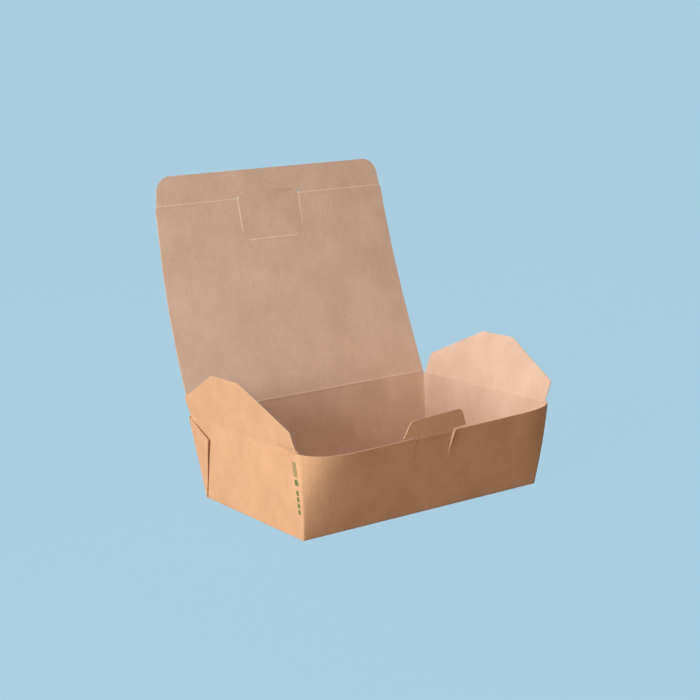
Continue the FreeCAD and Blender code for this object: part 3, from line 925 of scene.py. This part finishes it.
def lid_half(along, depth):
    """The lid's half width: it narrows slowly at first and faster towards the strip, by a power of the
    distance."""
    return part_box("lid")[1][0] - LID_TAPER * np.clip(along / depth, 0, 1) ** LID_TAPER_POWER


def slot_side(gap):
    """The slot flap's side as (half width, distance from its hinge): it swells to its full width, then its
    bump."""
    half = SLOT_WIDTH / 2
    corners = [
        (SLOT_CREASE / 2, 0),
        (half - SLOT_SHOULDER_IN, SLOT_SHOULDER),
        (half, SLOT_LENGTH),
        (half - BUMP_SLOPE, SLOT_LENGTH + BUMP_HEIGHT),
    ]
    line = rounded(corners, SLOT_RADII)
    line[:, 0] += gap
    return line


def lid_panel():
    """The lid between its two creases: the chord, less the bow and slow waves that fade out at both ends.
    The slot flap's cells are left out, from just below its crease up."""
    s = sizes()
    along_axis, inward, depth = lid_frame()
    slot_start = depth - SLOT_LENGTH
    line = slot_side(CUT_GAP)
    rows = row_values(s.crease_reach, depth - s.crease_reach, s.grid_step,
                      [slot_start - s.crease_reach, slot_start, *(line[:, 1] + slot_start)])
    half = lid_half(rows, depth)
    slot = np.interp(rows - slot_start, line[:, 1], line[:, 0])
    middle = SLOT_HINGE[0]

    def shape(across, along):
        ease = smooth((depth - along) / LID_EASE) * smooth(along / LID_EASE)
        behind = lid_bow_at(along, depth) + waviness(across, along, seed=31, depth=0.5 * MM) * ease
        point = LID_HINGE + along[..., None] * along_axis - behind[..., None] * inward
        return point + across[..., None] * X_AXIS

    hole_from = slot_start - s.crease_reach + HAIR * 2
    return Panel(rows, [-half, middle - slot, middle + slot, half], s.grid_step, shape, Y_AXIS,
                 [(1, hole_from)], sheet_place("lid"))


def strip_panel():
    """The tuck strip: straight up from its crease with two rounded corners, and slow waves that grow with
    the distance. The slot flap's bump is cut out of its foot."""
    s = sizes()
    direction = strip_heading()
    facing = np.cross(X_AXIS, direction)
    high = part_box("tuck_flap")[1]
    reach = (high[2] - s.board / 2 - STRIP_HINGE[2]) / direction[2]
    half = high[0] + STRIP_OVERHANG
    bump = slot_side(CUT_GAP)
    bump = bump[bump[:, 1] >= SLOT_LENGTH - 1 * MM]
    corners = [(half, 0), (half - STRIP_NARROWS, reach), (half - STRIP_FLAT, reach + HAIR)]
    outline = rounded(corners, [STRIP_CORNER], STRIP_ARC_STEPS)
    bump_top = BUMP_HEIGHT + CUT_GAP
    rows = row_values(s.crease_reach, reach, STRIP_ROW_STEP, [*outline[:, 1], bump_top, bump_top + HAIR * 2])
    side = np.interp(rows, outline[:, 1], outline[:, 0])
    slot = np.interp(rows, bump[:, 1] - SLOT_LENGTH, bump[:, 0])
    middle = SLOT_HINGE[0]

    def shape(across, along):
        sway = -np.abs(waviness(across, along, seed=41, depth=0.5 * MM)) * smooth(along / STRIP_EASE)
        point = STRIP_HINGE + along[..., None] * direction - sway[..., None] * facing
        return point + across[..., None] * X_AXIS

    panel = Panel(rows, [-side, middle - slot, middle + slot, side], STRIP_STEP, shape, Y_AXIS,
                  shift=sheet_place("tuck_flap"))
    # The bump's notch is open on the crease's side, so its cells are the low ones.
    centre = panel.flat[panel.quads].mean(axis=1)
    edge = np.interp(centre[:, 2], rows, slot)
    kept = (np.abs(centre[:, 0] - middle) > edge) | (centre[:, 2] > bump_top)
    panel.quads = panel.quads[kept]
    return panel


def slot_panel():
    """The slot flap: straight from its crease to the strip's crease, then its bump in the strip's plane. It
    twists a little, in a straight line from side to side."""
    s = sizes()
    middle = SLOT_HINGE[0]
    direction, reach = slot_heading()
    strip = strip_heading()
    facing = np.cross(X_AXIS, direction)
    line = slot_side(0)
    rows = row_values(s.crease_reach, line[-1, 1], SLOT_ROW_STEP, line[:, 1])
    side = np.interp(rows, line[:, 1], line[:, 0])

    def shape(across, along):
        offset = across - middle
        twist = SLOT_TWIST * offset / SLOT_WIDTH * 2 * smooth(along / TWIST_EASE)
        past = np.maximum(along - SLOT_LENGTH, 0)
        stretch = np.minimum(along / SLOT_LENGTH, 1) * (reach - SLOT_LENGTH)
        point = SLOT_HINGE + (along - past + stretch)[..., None] * direction + past[..., None] * strip
        return point - twist[..., None] * facing + offset[..., None] * X_AXIS

    return Panel(rows, [middle - side, middle + side], s.grid_step, shape, Y_AXIS,
                 shift=sheet_place("slot_flap"))


class TAKEAWAY_OT_lid(bpy.types.Operator):
    """Builds the lid, its tuck strip and the slot flap that the tab pushes in"""

    bl_idname = "takeaway.lid"
    bl_label = "Lid"

    def execute(self, context):
        body_board("lid", [lid_panel()])
        body_board("tuck_flap", [strip_panel()])
        body_board("slot_flap", [slot_panel()])
        return {"FINISHED"}


# The end flaps.

# The end flaps' outline, and the dent in the left one's crease, with its width above and below the crease.
FLAP_SHOULDER = 15.2 * MM
FLAP_HEIGHT = 40.6 * MM
FLAP_TIP = 35 * MM
FLAP_RADII = (2 * MM, 3 * MM)
FLAP_EASE = 20 * MM
DENT_DEPTH = 1.7 * MM
DENT_END = -43 * MM
DENT_RUN = 20 * MM
DENT_ABOVE = 2.4 * MM
DENT_BELOW = 0.4 * MM
DENT_ROWS = np.array([1.8, 2.3, 2.8, 3.4, 4.0, 4.8, 6.0]) * MM


def dent(across, along):
    """How far the left flap's crease is pressed in near its front end: a bell curve of the distance from
    the crease, wide above it and narrow below, that fades out along it."""
    width = np.where(along > 0, DENT_ABOVE, DENT_BELOW)
    return DENT_DEPTH * smooth((DENT_END - across) / DENT_RUN) * np.exp(-(along / width) ** 2)


def flap_lean(side):
    """The outward lean of the left or right end flap."""
    return sizes().left_lean if side < 0 else sizes().right_lean


def end_flap(side):
    """An end flap: square up to its shoulders, then cut back to its tip, with all its corners eased. Slow
    waves grow with the distance from its crease."""
    s = sizes()
    hinge = LEFT_HINGE if side < 0 else RIGHT_HINGE
    body = "left_end_flap" if side < 0 else "right_end_flap"
    lean = flap_lean(side)
    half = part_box(body)[1][1]
    direction = np.array([side * math.sin(lean), 0, math.cos(lean)])
    facing = np.array([side * math.cos(lean), 0, -math.sin(lean)])
    corners = [(half, 0), (half, FLAP_SHOULDER), (FLAP_TIP / 2, FLAP_HEIGHT), (0, FLAP_HEIGHT + HAIR)]
    line = rounded(corners, FLAP_RADII)
    rows = row_values(s.crease_reach, FLAP_HEIGHT, s.grid_step, [*line[:, 1], *DENT_ROWS])
    edge = np.interp(rows, line[:, 1], line[:, 0])

    def shape(across, along):
        sway = waviness(across, along, seed=51 + side, depth=0.5 * MM) * smooth(along / FLAP_EASE)
        if side < 0:
            sway = sway - dent(across, along)
        point = hinge + along[..., None] * direction + sway[..., None] * facing
        return point + across[..., None] * Y_AXIS

    return Panel(rows, [-edge, edge], s.grid_step, shape, side * X_AXIS, shift=sheet_place(body))


class TAKEAWAY_OT_end_flaps(bpy.types.Operator):
    """Builds the two end flaps"""

    bl_idname = "takeaway.end_flaps"
    bl_label = "End flaps"

    def execute(self, context):
        body_board("left_end_flap", [end_flap(-1)])
        body_board("right_end_flap", [end_flap(1)])
        return {"FINISHED"}


# The lock tab.

# The head's width at its barbs and at its top, and its height. The barbs start at BARB_LOW.
TAB_HEAD = 52 * MM
TAB_TIP = 41 * MM
TAB_HEIGHT = 15.0 * MM
TAB_CORNER = 5 * MM
TAB_SHEAR = 0.05
TAB_CURL = 0.1 * MM
BARB_LOW = 2.8 * MM
BARB_CORNER = 0.4 * MM
BARB_SLOPE = 0.5 * MM
TAB_ARC_STEPS = 9
TAB_ROW_STEP, TAB_STEP = 1.2 * MM, 1.5 * MM
SHEAR_EASE = 3 * MM


def tab_heading():
    """The way the lock tab's head runs: upright, leaning out by its angle."""
    lean = sizes().tab_lean
    return np.array([0, -math.sin(lean), math.cos(lean)])


def tab_panel():
    """The lock tab's head: neck wide at its crease, then two barbs, then sides that lean in to a rounded
    top. It curls in by the square of the distance from its middle, and its right side stands a little
    higher."""
    direction = tab_heading()
    facing = np.array([0, -direction[2], direction[1]])
    neck = TAB_NECK / 2
    corners = [
        (neck, 0),
        (neck, BARB_LOW - BARB_SLOPE),
        (TAB_HEAD / 2, BARB_LOW),
        (TAB_TIP / 2, TAB_HEIGHT),
        (0, TAB_HEIGHT + HAIR),
    ]
    line = rounded(corners, [0, BARB_CORNER, TAB_CORNER], TAB_ARC_STEPS)
    rows = row_values(TAB_CREASE_REACH, TAB_HEIGHT, TAB_ROW_STEP, line[:, 1])
    edge = np.interp(rows, line[:, 1], line[:, 0])
    middle = TAB_HINGE[0]

    def shape(across, along):
        offset = across - middle
        curl = TAB_CURL * (offset / (TAB_HEAD / 2)) ** 2
        up = along + offset * TAB_SHEAR * smooth((along - sizes().crease_reach) / SHEAR_EASE)
        point = TAB_HINGE + up[..., None] * direction - curl[..., None] * facing
        return point + offset[..., None] * X_AXIS

    return Panel(rows, [middle - edge, middle + edge], TAB_STEP, shape, -Y_AXIS,
                 shift=sheet_place("lock_tab"))


class TAKEAWAY_OT_lock_tab(bpy.types.Operator):
    """Builds the head of the lock tab on the front rim"""

    bl_idname = "takeaway.lock_tab"
    bl_label = "Lock tab"

    def execute(self, context):
        body_board("lock_tab", [tab_panel()])
        return {"FINISHED"}


# The creases, each a narrow strip that bends between its two panels.

# A crease bends over a share of its reach. The pale values are the strength of its line of broken fibres.
CREASE_ROWS = 13
CREASE_BEND = 0.75
RIDGE_WIDTH = 0.45 * MM
LID_RIDGE = 0.22 * MM
FLAP_RIDGE = 0.2 * MM
LID_PALE, STRIP_PALE, TRAY_PALE = 0.75, 0.6, 0.1


def at_middle(hinge):
    """The point of a crosswise crease that lies over the box's middle: its hinge without its sideways
    part."""
    return hinge * np.array([0, 1.0, 1.0])


def crease_strip(body, hinge, before, after, knots, across_axis, facing, ridge, pale, reach=None,
                 dented=False):
    """A strip of board across a crease: straight along both panels and bent between them, with a low ridge
    along its middle, a bell curve of the distance from the crease."""
    s = sizes()
    reach = reach or s.crease_reach
    rows = np.linspace(-reach, reach, CREASE_ROWS)
    inward = np.cross(across_axis, unit(before + after))

    def shape(across, along):
        line = bend(along, np.zeros(3), before, after, reach * CREASE_BEND)
        line = line + (ridge * np.exp(-(along / RIDGE_WIDTH) ** 2))[..., None] * inward
        if dented:
            line = line - dent(across, along)[..., None] * facing
        return hinge + line + across[..., None] * across_axis

    place = sheet_place(body)
    panels = [Panel(rows, [low, high], s.grid_step, shape, facing, shift=place) for low, high in knots]
    piece = board_object(body + "_crease_board", panels, board_materials(pale))
    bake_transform(piece)


class TAKEAWAY_OT_creases(bpy.types.Operator):
    """Builds the strips of board that bend at the six creases"""

    bl_idname = "takeaway.creases"
    bl_label = "Creases"

    def execute(self, context):
        half_x0, half_y0 = flare(0)
        half_x1, half_y1 = flare(1)
        depth = lid_frame()[2]
        middle = SLOT_HINGE[0]
        lid_foot = float(lid_half(np.array(0.0), depth))
        strip_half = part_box("tuck_flap")[1][0] + STRIP_OVERHANG
        slot_half = SLOT_WIDTH / 2 + CUT_GAP
        crease_strip("lid", at_middle(LID_HINGE), unit([0, half_y1 - half_y0, WALL_HEIGHT]),
                     lid_heading(0), [(-lid_foot, lid_foot)], X_AXIS, Y_AXIS, LID_RIDGE, LID_PALE)
        crease_strip("tuck_flap", at_middle(STRIP_HINGE), lid_heading(depth), strip_heading(),
                     [(-strip_half, middle - slot_half), (middle + slot_half, strip_half)],
                     X_AXIS, Y_AXIS, FLAP_RIDGE, STRIP_PALE)
        crease_strip("slot_flap", at_middle(SLOT_HINGE), lid_heading(depth - SLOT_LENGTH),
                     slot_heading()[0], [(middle - SLOT_CREASE / 2, middle + SLOT_CREASE / 2)],
                     X_AXIS, Y_AXIS, FLAP_RIDGE, LID_PALE)
        for body, side, hinge in (("left_end_flap", -1, LEFT_HINGE), ("right_end_flap", 1, RIGHT_HINGE)):
            wall_up = unit([side * (half_x1 - half_x0), 0, WALL_HEIGHT])
            flap_up = np.array([side * math.sin(flap_lean(side)), 0, math.cos(flap_lean(side))])
            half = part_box(body)[1][1]
            crease_strip(body, hinge, wall_up, flap_up, [(-half, half)], Y_AXIS, side * X_AXIS,
                         0.0, TRAY_PALE, dented=side < 0)
        middle = TAB_HINGE[0]
        front_up = unit([0, -(half_y1 - half_y0 + front_reach(np.array(middle))), WALL_HEIGHT])
        crease_strip("lock_tab", at_middle(TAB_HINGE), front_up, tab_heading(),
                     [(middle - TAB_NECK / 2, middle + TAB_NECK / 2)], X_AXIS, -Y_AXIS, 0.0, TRAY_PALE,
                     reach=TAB_CREASE_REACH)
        return {"FINISHED"}


# The stage.

# The camera was fitted to the box's corners in the photograph. The sweep's sizes are in metres.
CAMERA_PLACE = np.array([-579.0, -862.6, 308.0]) * MM
CAMERA_AZIMUTH = math.radians(-33.277)
CAMERA_ELEVATION = math.radians(11.096)
CAMERA_ROLL = math.radians(-2.611)
FOCAL_PIXELS = 1494.6
FRAME_PIXELS = 700
SENSOR = 36.0
NEAREST, FARTHEST = 0.01, 50
SWEEP_RADIUS = 3.2
SWEEP_CURVE = 1.4
SWEEP_HEIGHT = 3.0
SWEEP_CENTRE = 0.001
SWEEP_FLOOR_STEPS, SWEEP_CURVE_STEPS, SWEEP_TURNS = 12, 16, 97
SWEEP_SEEN = 0.955
BOUNCE_COLOUR = "#B5A598"
FILL_COLOUR = "#FFECE0"
FILL_STRENGTH = 0.48
AIM_HEIGHT = 0.06

# Each lamp's direction from the box, distance and diameter in metres, power in watts and colour.
LAMPS = {
    "key_lamp": ((-0.99, -0.27, 0.27), 1.6, 0.8, 27.0, "#FFFFFF"),
    "top_lamp": ((-0.15, -0.35, 1.0), 1.9, 1.3, 8.0, "#FFF7F0"),
}


def add_camera():
    """The photograph's camera: it looks along its azimuth and elevation, then rolls about its own axis."""
    data = bpy.data.cameras.new("camera")
    camera = link(bpy.data.objects.new("camera", data))
    a, e, r = CAMERA_AZIMUTH, CAMERA_ELEVATION, CAMERA_ROLL
    back = Vector((math.sin(a) * math.cos(e), -math.cos(a) * math.cos(e), math.sin(e)))
    right = Vector((math.cos(a), math.sin(a), 0))
    up = back.cross(right)
    rolled_right = right * math.cos(r) + up * math.sin(r)
    rolled_up = up * math.cos(r) - right * math.sin(r)
    axes = Matrix((rolled_right, rolled_up, back)).transposed().to_4x4()
    camera.matrix_world = Matrix.Translation(Vector(CAMERA_PLACE)) @ axes
    data.sensor_width = SENSOR
    data.lens = FOCAL_PIXELS / FRAME_PIXELS * SENSOR
    data.clip_start = NEAREST
    data.clip_end = FARTHEST
    bpy.context.scene.camera = camera


def stage_material():
    """Matt paper sweep. The camera sees most of its pale colour directly, so that it stays even, and the
    rest is lit, so that it keeps the box's soft shadow. The box is lit by a neutral bounce from it."""
    material, tree = new_tree("pale_sweep")
    path = add_node(tree, "LightPath", None).outputs
    colour = tuple(colours().stage)
    seen = add_node(tree, "Emission", "Emission", {"Color": colour, "Strength": 1.0})
    lit = add_node(tree, "BsdfDiffuse", "BSDF", {"Color": colour})
    shown = add_node(tree, "MixShader", "Shader", {0: SWEEP_SEEN, 1: lit, 2: seen})
    bounce = add_node(tree, "BsdfDiffuse", "BSDF", {"Color": srgb(BOUNCE_COLOUR)})
    direct = path["Is Camera Ray"]
    for ray in ("Is Glossy Ray", "Is Transmission Ray"):
        direct = add_node(tree, "Math", "Value", {0: direct, 1: path[ray]}, operation="MAXIMUM")
    chosen = add_node(tree, "MixShader", "Shader", {0: direct, 1: bounce, 2: shown})
    add_node(tree, "OutputMaterial", None, {"Surface": chosen})
    return material


def add_sweep():
    """The floor and backdrop in one turned surface: a disc, a quarter circle and an upright wall."""
    flat = SWEEP_RADIUS - SWEEP_CURVE
    floor = np.stack([np.linspace(SWEEP_CENTRE, flat, SWEEP_FLOOR_STEPS), np.zeros(SWEEP_FLOOR_STEPS)], -1)
    angle = np.linspace(0, math.pi / 2, SWEEP_CURVE_STEPS)[1:]
    curve = np.stack([flat + np.sin(angle) * SWEEP_CURVE, SWEEP_CURVE * (1 - np.cos(angle))], -1)
    profile = np.concatenate([floor, curve, [[SWEEP_RADIUS, SWEEP_HEIGHT]]])
    turn = np.linspace(0, 2 * math.pi, SWEEP_TURNS)[:-1]
    x = profile[:, :1] * np.cos(turn)
    y = profile[:, :1] * np.sin(turn)
    z = np.broadcast_to(profile[:, 1:], x.shape)
    points = np.stack([x, y, z], -1).reshape(-1, 3)
    index = np.arange(len(points)).reshape(x.shape)
    following = np.roll(index, -1, axis=1)
    quads = np.stack([index[:-1], following[:-1], following[1:], index[1:]], -1).reshape(-1, 4)[:, ::-1]
    mesh = bpy.data.meshes.new("sweep")
    mesh.from_pydata(points.tolist(), [], quads.tolist() + [index[0].tolist()])
    mesh.polygons.foreach_set("use_smooth", np.ones(len(mesh.polygons), bool))
    mesh.materials.append(stage_material())
    link(bpy.data.objects.new("sweep", mesh))


def add_lamp(name, direction, distance, size, power, colour):
    """A soft round lamp that stands in that direction from the box and faces it."""
    data = bpy.data.lights.new(name, "AREA")
    data.shape = "DISK"
    data.size = size
    data.energy = power
    data.color = srgb(colour)[:3]
    lamp = link(bpy.data.objects.new(name, data))
    away = Vector(direction).normalized()
    lamp.location = Vector((0, 0, AIM_HEIGHT)) + away * distance
    lamp.rotation_mode = "QUATERNION"
    lamp.rotation_quaternion = away.to_track_quat("Z", "Y")


class TAKEAWAY_OT_stage(bpy.types.Operator):
    """Builds the pale sweep, the soft lamps, the world's fill light and the camera"""

    bl_idname = "takeaway.stage"
    bl_label = "Stage"

    def execute(self, context):
        scene = context.scene
        scene.view_settings.view_transform = "Standard"
        add_camera()
        add_sweep()
        for name, lamp in LAMPS.items():
            add_lamp(name, *lamp)
        world = bpy.data.worlds.new("studio_fill")
        scene.world = world
        world.use_nodes = True
        world.node_tree.nodes.clear()
        fill = add_node(world.node_tree, "Background", "Background",
                        {"Color": srgb(FILL_COLOUR), "Strength": FILL_STRENGTH})
        add_node(world.node_tree, "OutputWorld", None, {"Surface": fill})
        return {"FINISHED"}


class TAKEAWAY_PT_box(bpy.types.Panel):
    """Lists the box's sizes, colours and build steps"""

    bl_label = "Takeaway box"
    bl_idname = "TAKEAWAY_PT_box"
    bl_space_type = "VIEW_3D"
    bl_region_type = "UI"
    bl_category = "Takeaway box"

    def draw(self, context):
        column = self.layout.column()
        for group in (context.scene.takeaway_sizes, context.scene.takeaway_colours):
            for name in group.__annotations__:
                column.prop(group, name)
        for operator in OPERATORS:
            column.operator(operator.bl_idname)


OPERATORS = (
    TAKEAWAY_OT_stage,
    TAKEAWAY_OT_tray,
    TAKEAWAY_OT_lid,
    TAKEAWAY_OT_end_flaps,
    TAKEAWAY_OT_lock_tab,
    TAKEAWAY_OT_creases,
)
CLASSES = (BoxSizes, BoxColours, *OPERATORS, TAKEAWAY_PT_box)


def register():
    """Makes the classes known to Blender and gives each scene its sizes and colours."""
    for kind in CLASSES:
        bpy.utils.register_class(kind)
    bpy.types.Scene.takeaway_sizes = bpy.props.PointerProperty(type=BoxSizes)
    bpy.types.Scene.takeaway_colours = bpy.props.PointerProperty(type=BoxColours)


def unregister():
    """Takes back what register does, in the reverse order."""
    del bpy.types.Scene.takeaway_colours
    del bpy.types.Scene.takeaway_sizes
    for kind in reversed(CLASSES):
        bpy.utils.unregister_class(kind)


def main():
    """Registers the classes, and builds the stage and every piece."""
    register()
    bpy.ops.takeaway.stage()
    bpy.ops.takeaway.tray()
    bpy.ops.takeaway.lid()
    bpy.ops.takeaway.end_flaps()
    bpy.ops.takeaway.lock_tab()
    bpy.ops.takeaway.creases()


if __name__ == "__main__":
    main()
